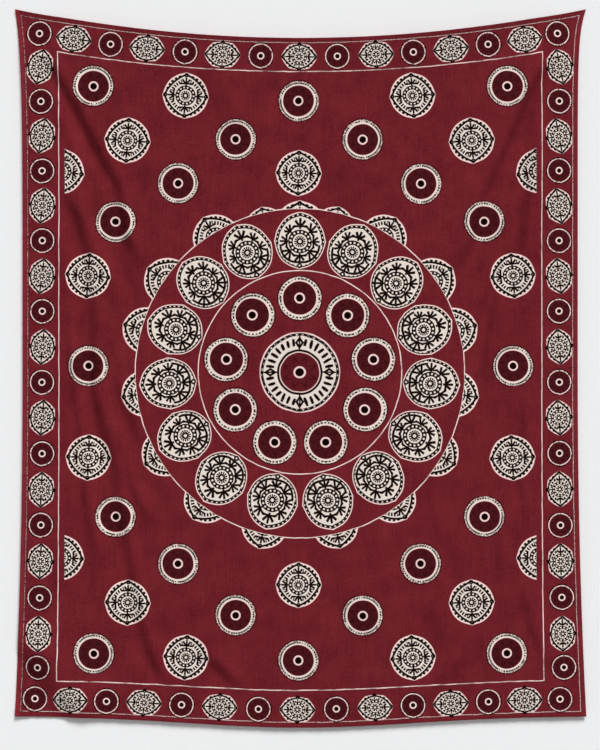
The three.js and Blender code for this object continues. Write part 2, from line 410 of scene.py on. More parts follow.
@dataclass
class BlockPrint:
    """The layout of the print: a ringed centre, a scattered field and a border between two lines.

    Field and border places are across and up from the middle of the cloth. The ringed centre was
    laid out with a cord, so it is given as radii and angles on the hung cloth.
    """

    hung: HungShape
    half_width: float = 1092
    half_height: float = 1315.25
    inner_line: tuple[float, float] = (932, 1180)
    outer_line: tuple[float, float] = (1072, 1296)
    half_print_edge: float = 905
    centre: tuple[float, float] = (-2, -1273)
    centre_size: float = 153
    inner_ring: float = 388
    outer_ring: float = 628
    outer_ring_drop: float = 3.5
    ring_roundels: int = 9
    ring_roundel_radius: float = 284
    ring_roundel_size: float = 82
    ring_medallions: int = 15
    ring_medallion_radius: float = 499
    ring_medallion_size: float = 104.5
    ring_lift: float = 1.1
    roundel_size: float = 76
    medallion_size: float = 88.5
    border_roundel_size: float = 47.5
    border_medallion_size: float = 69
    # Blocks to each side of the middle, their step, and each row's shift, height and drift of the hand
    border_blocks: int = 7
    border_step: float = 143
    border_rows: tuple[tuple[float, float, float, float], ...] = ((-5, 1240, 7, 6.5), (-12, -1250, 15, 8))
    side_places: tuple[float, float] = (-1010, 1013)
    side_blocks: int = 17
    side_step: float = 132.5
    side_top: float = 1242
    side_drift: float = 6
    side_end: float = -1133
    hand_shift: float = 1.2
    hand_turn: float = 0.025
    seed: int = 11
    # Distance across and up in each quarter, and how far the whole row was set to the right
    field_roundels: tuple[tuple[float, float, float], ...] = (
        (788.5, 1072, 0), (242, 908, -5), (462, 724.5, -4), (704, 560, -2),
    )
    field_medallions: tuple[tuple[float, float, float], ...] = (
        (433, 1071, -5), (656.5, 877, -3), (809, 343.5, 0),
    )
    field_drop: float = 3.5
    half_medallion: tuple[float, float] = (918, 725)
    side_roundel: tuple[float, float] = (810, -1.5)
    column_roundel: tuple[float, float] = (-9, 1067)
    column_medallion: tuple[float, float] = (-7, 785)
    column_drop: float = 10
    unclipped: float = 100.0
    # Angle from the top, radius of the tip, and half size of each cap outside the outer ring
    scallops: tuple[tuple[float, float, float], ...] = (
        (0, 656, 100), (13.4, 648, 80), (32.5, 697, 92), (56.5, 705, 93), (76, 701, 92),
        (99, 690, 92), (121.7, 694, 92), (144.5, 694, 92), (167.3, 690, 92),
    )
    stamps: list[Stamp] = field(default_factory=list)

    def on_wall(self, p: float, q: float) -> tuple[float, float, float]:
        """Find a place of the print on the hung cloth.

        Args:
            p: Distance across from the middle of the cloth.
            q: Distance up from the middle of the cloth.

        Returns:
            Its place across and up on the wall, and the turn of the cloth there.
        """
        u, v = p / self.half_width, 0.5 - q / (2 * self.half_height)
        step = 0.01
        before, after = (self.hung.wall_place(np.array(u + d), np.array(v)) for d in (-step, step))
        turn = math.atan2(after[1] - before[1], after[0] - before[0])
        x, z = self.hung.wall_place(np.array(u), np.array(v))
        return float(x), float(z), turn

    def lay_out(self) -> None:
        """Place every stamp, each a little out of true as a hand sets it."""
        self._add_mandala()
        self._add_field()
        self._add_border()
        hand = np.random.default_rng(self.seed)
        shifts = hand.uniform(-1, 1, (len(self.stamps), 3))
        self.stamps = [
            replace(stamp, x=stamp.x + self.hand_shift * right, z=stamp.z + self.hand_shift * up,
                    turn=stamp.turn + self.hand_turn * turn)
            for stamp, (right, up, turn) in zip(self.stamps, shifts)
        ]

    def _add_on_cloth(self, block: Block, p: float, q: float, size: float, **more: object) -> None:
        """Add a stamp that follows the grain at a place on the cloth."""
        quarter = more.pop("quarter", 0)
        x, z, turn = self.on_wall(p, q)
        self.stamps.append(Stamp(block, x, z, turn + quarter * math.pi / 2, size, **more))

    def _add_around(self, block: Block, angle: float, radius: float, size: float, **more: object) -> None:
        """Add a stamp that points outwards at an angle, in degrees, around the centre."""
        turn = math.radians(angle)
        x = self.centre[0] + radius * math.sin(turn)
        z = self.centre[1] + radius * math.cos(turn)
        self.stamps.append(Stamp(block, x, z, -turn, size, **more))

    def _add_mandala(self) -> None:
        """Add the ringed centre: a large block, roundels, medallions and caps outside the ring.

        The medallions and caps ride up a little at the sides, where the hung cloth does.
        """
        self._add_around(Block.CENTRE, 0, 0, self.centre_size)
        for k in range(self.ring_roundels):
            angle = 360 * k / self.ring_roundels
            self._add_around(Block.RING_ROUNDEL, angle, self.ring_roundel_radius, self.ring_roundel_size)
        for k in range(self.ring_medallions):
            angle = 360 * k / self.ring_medallions
            angle -= self.ring_lift * math.sin(math.radians(angle))
            self._add_around(Block.RING_MEDALLION, angle, self.ring_medallion_radius,
                             self.ring_medallion_size)
        for angle, tip, size in self.scallops:
            angle -= self.ring_lift * math.sin(math.radians(angle))
            for side in (-1, 1) if angle else (1,):
                self._add_around(Block.FIELD_MEDALLION, side * angle, tip - size, size, clip=Clip.RING)

    def _add_field(self) -> None:
        """Add the scattered blocks, which are alike in all four quarters."""
        down = self.field_drop
        half_p, half_q = self.half_medallion
        for sign_p in (-1, 1):
            for sign_q in (-1, 1):
                for p, q, shift in self.field_roundels:
                    self._add_on_cloth(Block.FIELD_ROUNDEL, sign_p * p + shift, sign_q * q - down,
                                       self.roundel_size)
                for p, q, shift in self.field_medallions:
                    self._add_on_cloth(Block.FIELD_MEDALLION, sign_p * p + shift, sign_q * q - down,
                                       self.medallion_size)
                self._add_on_cloth(Block.FIELD_MEDALLION, sign_p * half_p, sign_q * half_q,
                                   self.medallion_size, clip=Clip.LINE)
            p, q = self.side_roundel
            self._add_on_cloth(Block.FIELD_ROUNDEL, sign_p * p, q, self.roundel_size)
            p, q = self.column_roundel
            self._add_on_cloth(Block.FIELD_ROUNDEL, p, sign_p * q - down, self.roundel_size)
            p, q = self.column_medallion
            self._add_on_cloth(Block.FIELD_MEDALLION, p, sign_p * q - self.column_drop, self.medallion_size)

    def _add_border(self) -> None:
        """Add the border, roundels and medallions by turns, with a roundel in every corner.

        The hand drifts along each side: the middle blocks lie a little wider apart than the outer ones.
        """
        for k in range(-self.border_blocks, self.border_blocks + 1):
            for shift, q, drift, span in self.border_rows:
                p = shift + self.border_step * k + drift * math.sin(math.pi * k / span)
                self._add_border_stamp(p, q, k % 2 == 1, 0)
        for p in self.side_places:
            for k in range(1, self.side_blocks + 1):
                drift = self.side_drift * math.sin(math.pi * k / (self.side_blocks + 1))
                self._add_border_stamp(p, self.side_top - self.side_step * k + drift, k % 2 == 0, 1)
            self._add_border_stamp(p, self.side_end, True, 1)

    def _add_border_stamp(self, p: float, q: float, roundel: bool, quarter: int) -> None:
        """Add one border block, turned by a quarter where it runs down a side."""
        if roundel:
            self._add_on_cloth(Block.BORDER_ROUNDEL, p, q, self.border_roundel_size)
        else:
            self._add_on_cloth(Block.BORDER_MEDALLION, p, q, self.border_medallion_size, quarter=quarter)

    def clip_depth(self, clip: Clip, x: Array, z: Array, p: Array) -> Array:
        """Measure how far inside the printed part of a clipped block places lie.

        Args:
            clip: What clips the block.
            x: Places across the wall.
            z: Places up the wall.
            p: The same places across the cloth.

        Returns:
            The depth in millimetres, below zero where the block isn't printed.
        """
        if clip is Clip.RING:
            return np.hypot(x - self.centre[0], z - self.centre[1] + self.outer_ring_drop) - self.outer_ring
        if clip is Clip.LINE:
            return self.half_print_edge - np.abs(p)
        return np.full(x.shape, self.unclipped)


# The finishes

class Inks(NamedTuple):
    """Where a block leaves its inks, each from 0 to 1."""

    cream: Value
    pink: Value
    maroon: Value
    black: Value


class Draft:
    """One material's nodes. Formulas are written out as Math nodes, and equal steps are shared."""

    operations = {
        ast.Add: "ADD", ast.Sub: "SUBTRACT", ast.Mult: "MULTIPLY", ast.Div: "DIVIDE",
        ast.Gt: "GREATER_THAN", ast.Lt: "LESS_THAN",
    }
    functions = {
        "abs": "ABSOLUTE", "min": "MINIMUM", "max": "MAXIMUM", "fract": "FRACT", "floor": "FLOOR",
        "sin": "SINE", "sqrt": "SQRT", "angle": "ARCTAN2", "pingpong": "PINGPONG",
    }
    plain = {"ADD": operator.add, "SUBTRACT": operator.sub, "MULTIPLY": operator.mul,
             "DIVIDE": operator.truediv}
    shapes = {
        "band": ("value low high", "below(abs(value - (low + high) / 2), (high - low) / 2)"),
        "far": ("x y", "sqrt(x * x + y * y)"),
        "turns": ("x y", f"angle(x, y) / {TAU}"),
        "dot": ("x y radius", "below(far(x, y), radius)"),
    }

    def __init__(self, name: str, softness: float) -> None:
        """Start a material.

        Args:
            name: The material's name.
            softness: Half the width over which a printed edge fades, in the formulas' units.
        """
        self.material = bpy.data.materials.new(name)
        self.material.use_nodes = True
        self.tree = self.material.node_tree
        self.tree.nodes.clear()
        self.softness = softness
        self.steps: dict[tuple, Socket] = {}

    def add(self, kind: str, inputs: dict | None = None, output: int | str = 0,
            **settings: object) -> Socket | None:
        """Add one node with its settings and links.

        Args:
            kind: The node's type.
            inputs: What goes into its inputs, by name or number: a socket or a plain value.
            output: The output that is wanted.
            settings: The node's own settings.

        Returns:
            That output, or nothing where the node has none.
        """
        node = self.tree.nodes.new(kind)
        for name, value in settings.items():
            setattr(node, name, value)
        for key, value in (inputs or {}).items():
            if isinstance(value, Socket):
                self.tree.links.new(value, node.inputs[key])
            else:
                node.inputs[key].default_value = value
        return node.outputs[output] if node.outputs else None

    def work(self, formula: str, **known: Value) -> Value:
        """Write out a formula.

        Args:
            formula: Sums, products, comparisons and the functions and shapes that are listed above.
            known: What its names stand for.

        Returns:
            The socket that carries its result, or a plain number.
        """
        return self._write(ast.parse(formula).body[0].value, known)

    def _write(self, part: ast.expr, known: dict[str, Value]) -> Value:
        """Write out one part of a formula, and return its result."""
        if isinstance(part, ast.Constant):
            return part.value
        if isinstance(part, ast.Name):
            return known[part.id]
        if isinstance(part, ast.UnaryOp):
            return self._step("MULTIPLY", -1, self._write(part.operand, known))
        if isinstance(part, ast.Compare):
            sides = (part.left, part.comparators[0])
            return self._step(self.operations[type(part.ops[0])], *(self._write(s, known) for s in sides))
        if isinstance(part, ast.BinOp):
            sides = (part.left, part.right)
            return self._step(self.operations[type(part.op)], *(self._write(s, known) for s in sides))
        values = [self._write(each, known) for each in part.args]
        name = part.func.id
        if name in self.shapes:
            names, body = self.shapes[name]
            return self.work(body, **dict(zip(names.split(), values)))
        if name == "below":
            return self._below(*values)
        return self._step(self.functions[name], *values)

    def _step(self, operation: str, *values: Value) -> Value:
        """Write one Math node, or reuse an equal one."""
        if operation in self.plain and not any(isinstance(value, Socket) for value in values):
            return self.plain[operation](*values)
        key = (operation, *(v.as_pointer() if isinstance(v, Socket) else v for v in values))
        if key not in self.steps:
            self.steps[key] = self.add("ShaderNodeMath", dict(enumerate(values)), operation=operation)
        return self.steps[key]

    def _below(self, value: Value, edge: Value) -> Socket:
        """Write 1 where a value is below an edge and 0 where it is above, with a soft change."""
        limits = {"From Min": self.work("edge - soft", edge=edge, soft=self.softness),
                  "From Max": self.work("edge + soft", edge=edge, soft=self.softness),
                  "To Min": 1.0, "To Max": 0.0}
        return self.add("ShaderNodeMapRange", {"Value": value, **limits}, interpolation_type="SMOOTHSTEP")

    def mix(self, share: Value, under: object, over: object) -> Socket:
        """Lay one colour over another."""
        return self.add("ShaderNodeMix", {0: share, 6: under, 7: over}, output=2, data_type="RGBA")


@dataclass(frozen=True)
class RoundelBlock:
    """A dark disc with a star in it, a ringed eye, and a cream rim with a row of dashes or hatching.

    Where the hatch is above 0, so much of the row is closed up into dark arcs and the rim is worn.
    """

    hatch: float
    dashes: int = 34
    eye: float = 0.17
    eye_ring: float = 0.25
    disc: float = 0.778
    row: tuple[float, float] = (0.866, 0.94)

    def inks(self, draft: Draft, known: dict[str, Value]) -> Inks:
        """Draw the block.

        Args:
            draft: The material that it is drawn in.
            known: The block's own coordinates a and b, and the stamp's values.

        Returns:
            Where its inks lie.
        """
        k = dict(known)
        low, high = self.row
        k["r"] = draft.work("far(a, b)", **k)
        k["turn"] = draft.work("turns(a, b)", **k)
        k["shift"] = draft.work("(ink - 0.5) * 0.04", **k)
        k["rim"] = draft.work("far(a - shift, b + shift)", **k)
        k["step"] = draft.work(f"turn * {self.dashes} + ink * 7", **k)
        k["length"] = draft.add("ShaderNodeTexWhiteNoise", {
            "W": draft.work("floor(step) + ink * 31", **k)}, noise_dimensions="1D")
        k["arc"] = draft.add("ShaderNodeTexNoise", {
            "W": draft.work("turn * 3 + ink * 40", **k), "Scale": 1.0, "Detail": 0.0}, noise_dimensions="1D")
        k["dash"] = draft.work("below(abs(fract(step) - 0.5), 0.1 + 0.42 * length)", **k)
        k["closed"] = draft.work(f"below(arc, {0.3 + 0.3 * self.hatch}) * {self.hatch}", **k)
        k["worn"] = draft.work(
            f"1 - (1 - below(rim, {high + 0.01})) * below(speckle, {0.46 + 0.08 * self.hatch}) * 0.85", **k)
        k["rim_cream"] = draft.work(f"below(rim, 1) * (1 - below(r, {self.disc})) * worn", **k)
        k["eye_cream"] = draft.work(f"band(r, {self.eye}, {self.eye_ring})", **k)
        k["point"] = draft.work(f"pingpong(turn * {2 * STAR_POINTS}, 1)", **k)
        k["star"] = draft.work("below(r, 0.3 + point * 0.44) * (1 - below(r, 0.24 + point * 0.3))", **k)
        k["marks"] = draft.work(f"band(rim, {low}, {high}) * max(dash, closed)", **k)
        k["edge"] = draft.work("band(rim, 1, 1.06) * 0.75", **k)
        black = draft.work(f"max(max(below(r, {self.eye}), marks), max(edge, star * 0.35))", **k)
        return Inks(
            cream=draft.work("max(rim_cream, eye_cream)", **k),
            pink=draft.work(f"max(eye_cream * 0.7, below(r, {self.disc + 0.04}))", **k),
            maroon=draft.work(f"below(r, {self.disc}) * (0.6 + 0.6 * speckle)", **k),
            black=black,
        )


@dataclass(frozen=True)
class BorderRoundelBlock:
    """A small dark disc with a star and a ringed eye, inside a thin cream ring and a dark edge."""

    eye: float = 0.175
    eye_ring: float = 0.29
    disc: float = 0.895
    ring: float = 0.98

    def inks(self, draft: Draft, known: dict[str, Value]) -> Inks:
        """Draw the block.

        Args:
            draft: The material that it is drawn in.
            known: The block's own coordinates a and b, and the stamp's values.

        Returns:
            Where its inks lie.
        """
        k = dict(known)
        k["r"] = draft.work("far(a, b)", **k)
        k["turn"] = draft.work("turns(a, b)", **k)
        k["rim"] = draft.work("r - 0.03 * max(1 - abs(a) * 5, 0) * (b < 0)", **k)
        k["ring"] = draft.work(
            f"band(rim, {self.disc}, {self.ring}) * (1 - below(speckle, 0.41) * 0.85)", **k)
        k["eye_cream"] = draft.work(f"band(r, {self.eye}, {self.eye_ring})", **k)
        k["point"] = draft.work(f"pingpong(turn * {2 * STAR_POINTS}, 1)", **k)
        k["star"] = draft.work("below(r, 0.36 + point * 0.48) * (1 - below(r, 0.28 + point * 0.3))", **k)
        k["edge"] = draft.work(f"band(rim, {self.ring}, 1.085) * 0.9", **k)
        return Inks(
            cream=draft.work("max(ring, eye_cream)", **k),
            pink=draft.work("0.75 * max(ring, eye_cream)", **k),
            maroon=draft.work(f"below(rim, {self.disc}) * (0.6 + 0.6 * speckle)", **k),
            black=draft.work(f"max(below(r, {self.eye}), max(edge, star * 0.35))", **k),
        )


class Frame(Enum):
    """What frames a medallion."""

    DIAMOND = 0
    BAND = 1


@dataclass(frozen=True)
class MedallionBlock:
    """A cream medallion with four tips: a beaded rosette, sprigs and a frame, all in bold black.

    The belly is how far its outline reaches between two tips, and the beads lie on the rosette's ring.
    Each sprig opens like a hand, with a finger to every spread, and combs of short strokes fill the
    diagonals where there are any. The lozenge is how far the frame reaches, as a diamond and as a circle.
    A medallion with a shoulder has sides that slope in to its long tips, and its caps are black points
    on the short axis.
    """

    outline: tuple[float, float, float]
    frame: Frame = Frame.DIAMOND
    belly: float = 0.955
    beads: int = 14
    bead_size: float = 0.038
    petals: int = 12
    sprigs: int = 4
    finger_spread: float = 0.6
    finger_half: float = 0.04
    comb: int = 32
    shoulder: float = 0
    caps: float = 0
    lozenge: tuple[float, float] = (1.06, 0.79)
    line: float = 0.11
    marks: int = 28
    mark_size: float = 0.05
    petal_high: float = 0.21
    ring: tuple[float, float] = (0.265, 0.435)
    bead_radius: float = 0.35

    def inks(self, draft: Draft, known: dict[str, Value]) -> Inks:
        """Draw the block.

        Args:
            draft: The material that it is drawn in.
            known: The block's own coordinates a and b, and the stamp's values.

        Returns:
            Where its inks lie.
        """
        k = dict(known)
        wide, high, deep = self.outline
        k["r"] = draft.work("far(a, b)", **k)
        k["turn"] = draft.work("turns(a, b)", **k)
        k["fa"] = draft.work(f"abs(a) / {wide}", **k)
        k["fb"] = draft.work(f"abs(b) / ({deep} + {high - deep} * (b > 0))", **k)
        k["fr"] = draft.work("far(fa, fb)", **k)
        if self.shoulder:
            k["fr"] = draft.work(f"(fr + max(fb, fa + {self.shoulder} * fb)) / 2", **k)
        straight, round_ = self.lozenge
        k["lozenge"] = draft.work(f"((fa + fb) / {straight} + fr / {round_}) / 2", **k)
        k["cross"] = draft.work("1 - 2 * fa * fb / (fr * fr + 0.0001)", **k)
        k["cusp"] = draft.work("cross * cross * cross * cross", **k)
        k["rim"] = draft.work(f"fr / ({self.belly} + {1 - self.belly} * cusp)", **k)
        k["rosette"] = self._rosette(draft, k)
        k["sprigs"] = self._sprigs(draft, k)
        k["frame"] = self._diamond(draft, k) if self.frame is Frame.DIAMOND else self._band(draft, k)
        inside = draft.work("below(rim, 1) * below(0, shown)", **k)
        black = draft.work("max(max(rosette, frame), sprigs) * inside", inside=inside, **k)
        if self.caps:
            black = draft.work(f"max(black, dot(fa * 0.8, fb - 1, {self.caps}))", black=black, **k)
        return Inks(
            cream=inside,
            pink=draft.work("1 - below(rim, 0.93)", **k),
            maroon=0.0,
            black=black,
        )

    def _rosette(self, draft: Draft, k: dict[str, Value]) -> Value:
        """Draw the rosette: petals around a dot, inside a ring of beads."""
        low, high = self.ring
        c = {"r": k["r"], "spread": draft.work(f"fract(turn * {self.beads}) - 0.5", **k),
             "petal": draft.work(f"fract(turn * {self.petals}) - 0.5", **k)}
        petals = draft.work(
            f"max(band(r, 0.06, 0.125), band(r, 0.11, {self.petal_high}) * below(abs(petal), 0.33))", **c)
        step = TAU * self.bead_radius / self.beads
        beads = draft.work(f"dot(spread * {step}, r - {self.bead_radius}, {self.bead_size})", **c)
        c.update(petals=petals, beads=beads)
        return draft.work(f"max(petals, band(r, {low}, {high}) * (1 - beads))", **c)

    def _sprigs(self, draft: Draft, k: dict[str, Value]) -> Value:
        """Draw the sprigs around the rosette, each of its own length, and the combs between them."""
        c = {name: k[name] for name in ("a", "b", "r", "fr", "cross", "turn", "ink", "lozenge")}
        c["sector"] = draft.work(f"turn * {self.sprigs} + 0.5", **c)
        c["grown"] = draft.add("ShaderNodeTexWhiteNoise", {
            "W": draft.work("floor(sector) + ink * 17", **c)}, noise_dimensions="1D")
        c["s"] = draft.work(f"(fract(sector) - 0.5) * fr * {TAU / self.sprigs}", **c)
        c["t"] = draft.work("fr - 0.47", **c)
        c["reach"] = draft.work("far(s, t)", **c)
        c["open"] = draft.work("angle(s, t)", **c)
        c["finger"] = draft.work(
            f"below(abs(fract(open / {self.finger_spread} + 0.5) - 0.5) * reach * {self.finger_spread},"
            f" {self.finger_half})", **c)
        c["bow"] = draft.work("(b < -0.3) * (abs(a) > 0.3)" if self.frame is Frame.BAND else "0", **c)
        c["hand"] = draft.work(
            "finger * below(reach, 0.27 + 0.07 * grown + 0.11 * bow) * below(abs(open), 1.4)", **c)
        c["stem"] = draft.work("below(abs(s), 0.036) * band(t, -0.05, 0.14)", **c)
        edge = "below(lozenge, 0.86)" if self.frame is Frame.DIAMOND else "below(fr, 0.8 + 0.13 * bow)"
        drawn = draft.work(f"max(hand, stem) * (1 - below(r, 0.43)) * {edge}", **c)
        if self.comb:
            c["tooth"] = draft.work(f"fract(turn * {self.comb}) - 0.5", **c)
            comb = draft.work("below(abs(tooth), 0.3) * band(lozenge, 0.69, 0.88) * below(cross, 0.45)", **c)
            drawn = draft.work("max(drawn, comb)", drawn=drawn, comb=comb)
        return drawn

    def _marks(self, draft: Draft, k: dict[str, Value], place: float) -> Value:
        """Draw a row of dots at a place near the rim."""
        spread = draft.work(f"(fract(turn * {self.marks}) - 0.5) * {TAU * place / self.marks}", **k)
        return draft.work(f"dot(spread * 0.75, rim - {place}, {self.mark_size})", spread=spread, **k)

    def _tips(self, draft: Draft, k: dict[str, Value], size: float) -> Value:
        """Draw a black ring in each tip."""
        c = {"out": draft.work("max(fa, fb) - 0.875", **k), "side": draft.work("min(fa, fb)", **k)}
        return draft.work(f"band(far(side, out), {0.35 * size}, {size})", **c)

    def _diamond(self, draft: Draft, k: dict[str, Value]) -> Value:
        """Draw a bold diamond with bowed sides, and dots outside it."""
        c = {
            "diamond": draft.work(f"band(lozenge, {1 - self.line / 2}, {1 + self.line / 2})", **k),
            "marks": self._marks(draft, k, 0.89),
            "tips": self._tips(draft, k, 0.1),
        }
        return draft.work("max(diamond, max(marks, tips))", **c)

    def _band(self, draft: Draft, k: dict[str, Value]) -> Value:
        """Draw a beaded black band round the upper arcs, and a bold swag and dots round the lower ones."""
        c = {
            "marks": self._marks(draft, k, 0.912),
            "tips": self._tips(draft, k, 0.1),
            "upper": draft.work("1 - below(b, -0.12)", **k),
            "band": draft.work("band(rim, 0.845, 0.958)", **k),
            "swag": draft.work("band(fr + cross * 0.06, 0.755, 0.84)", **k),
            "edge": draft.work("band(rim, 0.918, 0.962)", **k),
        }
        above = draft.work("band * (1 - marks)", **c)
        below = draft.work("max(max(swag, edge), max(marks, tips))", **c)
        return draft.work("upper * above + (1 - upper) * below", upper=c["upper"], above=above, below=below)


@dataclass(frozen=True)
class CentreBlock:
    """The large middle block: a starred disc inside a cream band of strokes and four spearheads."""

    eye: float = 0.104
    eye_ring: float = 0.15
    disc: float = 0.487
    disc_ring: float = 0.511
    black_ring: float = 0.568
    strokes: int = 32

    def inks(self, draft: Draft, known: dict[str, Value]) -> Inks:
        """Draw the block.

        Args:
            draft: The material that it is drawn in.
            known: The block's own coordinates a and b, and the stamp's values.

        Returns:
            Where its inks lie.
        """
        k = dict(known)
        k["r"] = draft.work("far(a, b)", **k)
        k["turn"] = draft.work("turns(a, b)", **k)
        k["t"] = draft.work("max(abs(a), abs(b))", **k)
        k["s"] = draft.work("min(abs(a), abs(b))", **k)
        k["cross"] = draft.work("1 - 2 * s * t / (r * r + 0.0001)", **k)
        k["rim"] = draft.work("r - cross * cross * 0.02", **k)
        k["spread"] = draft.work(
            f"(fract(turn * {self.strokes} + 0.5) - 0.5) * r * {TAU / self.strokes}", **k)
        k["length"] = draft.add("ShaderNodeTexWhiteNoise", {
            "W": draft.work(f"floor(turn * {self.strokes} + 0.5)", **k)}, noise_dimensions="1D")
        k["strokes"] = draft.work(
            "below(abs(spread + (r - 0.75) * (length - 0.5) * 0.35), 0.042 - abs(r - 0.75) * 0.12)"
            " * below(abs(r - 0.75), 0.085 + 0.03 * length) * (1 - below(s, 0.085))", **k)
        k["spear"] = draft.work("band(s / 0.11 + abs(t - 0.735) / 0.17, 0.42, 1)", **k)
        k["stem"] = draft.work("below(s, 0.02) * band(t, 0.55, 0.92)", **k)
        k["beads"] = draft.work("dot((fract(turn * 40) - 0.5) * 0.145 * 0.7, rim - 0.925, 0.02)", **k)
        k["band"] = draft.work("band(rim, 0.893, 0.962) * (1 - beads * (1 - below(speckle, 0.5)))", **k)
        k["point"] = draft.work(f"pingpong(turn * {2 * STAR_POINTS}, 1)", **k)
        k["star"] = draft.work("below(r, 0.19 + point * 0.26) * (1 - below(r, 0.17 + point * 0.17))", **k)
        k["eye_cream"] = draft.work(f"band(r, {self.eye}, {self.eye_ring})", **k)
        black = draft.work(
            f"max(max(below(r, {self.eye}), band(r, {self.disc_ring}, {self.black_ring})),"
            " max(max(strokes, max(spear, stem)), max(band, star * 0.4)))", **k)
        return Inks(
            cream=draft.work(f"max(below(r, 1) * (1 - below(r, {self.disc})), eye_cream)", **k),
            pink=draft.work(f"max(1 - below(r, 0.96), below(r, {self.disc_ring}))", **k),
            maroon=draft.work(f"0.5 * below(r, {self.disc})", **k),
            black=black,
        )


DESIGNS = {
    Block.FIELD_ROUNDEL: RoundelBlock(hatch=0.7, dashes=44),
    Block.RING_ROUNDEL: RoundelBlock(hatch=0),
    Block.BORDER_ROUNDEL: BorderRoundelBlock(),
    Block.FIELD_MEDALLION: MedallionBlock((1, 1, 1)),
    Block.RING_MEDALLION: MedallionBlock(
        OUTLINES[Block.RING_MEDALLION], Frame.BAND, belly=0.96, beads=15, petals=14, sprigs=8, comb=0,
        marks=34, mark_size=0.025),
    Block.BORDER_MEDALLION: MedallionBlock(
        OUTLINES[Block.BORDER_MEDALLION], belly=0.97, beads=12, bead_size=0.046, petals=8, finger_spread=0.8,
        finger_half=0.046, comb=20, shoulder=0.42, caps=0.09, lozenge=(1.1, 0.82), line=0.14, marks=20,
        mark_size=0.062),
    Block.CENTRE: CentreBlock(),
}


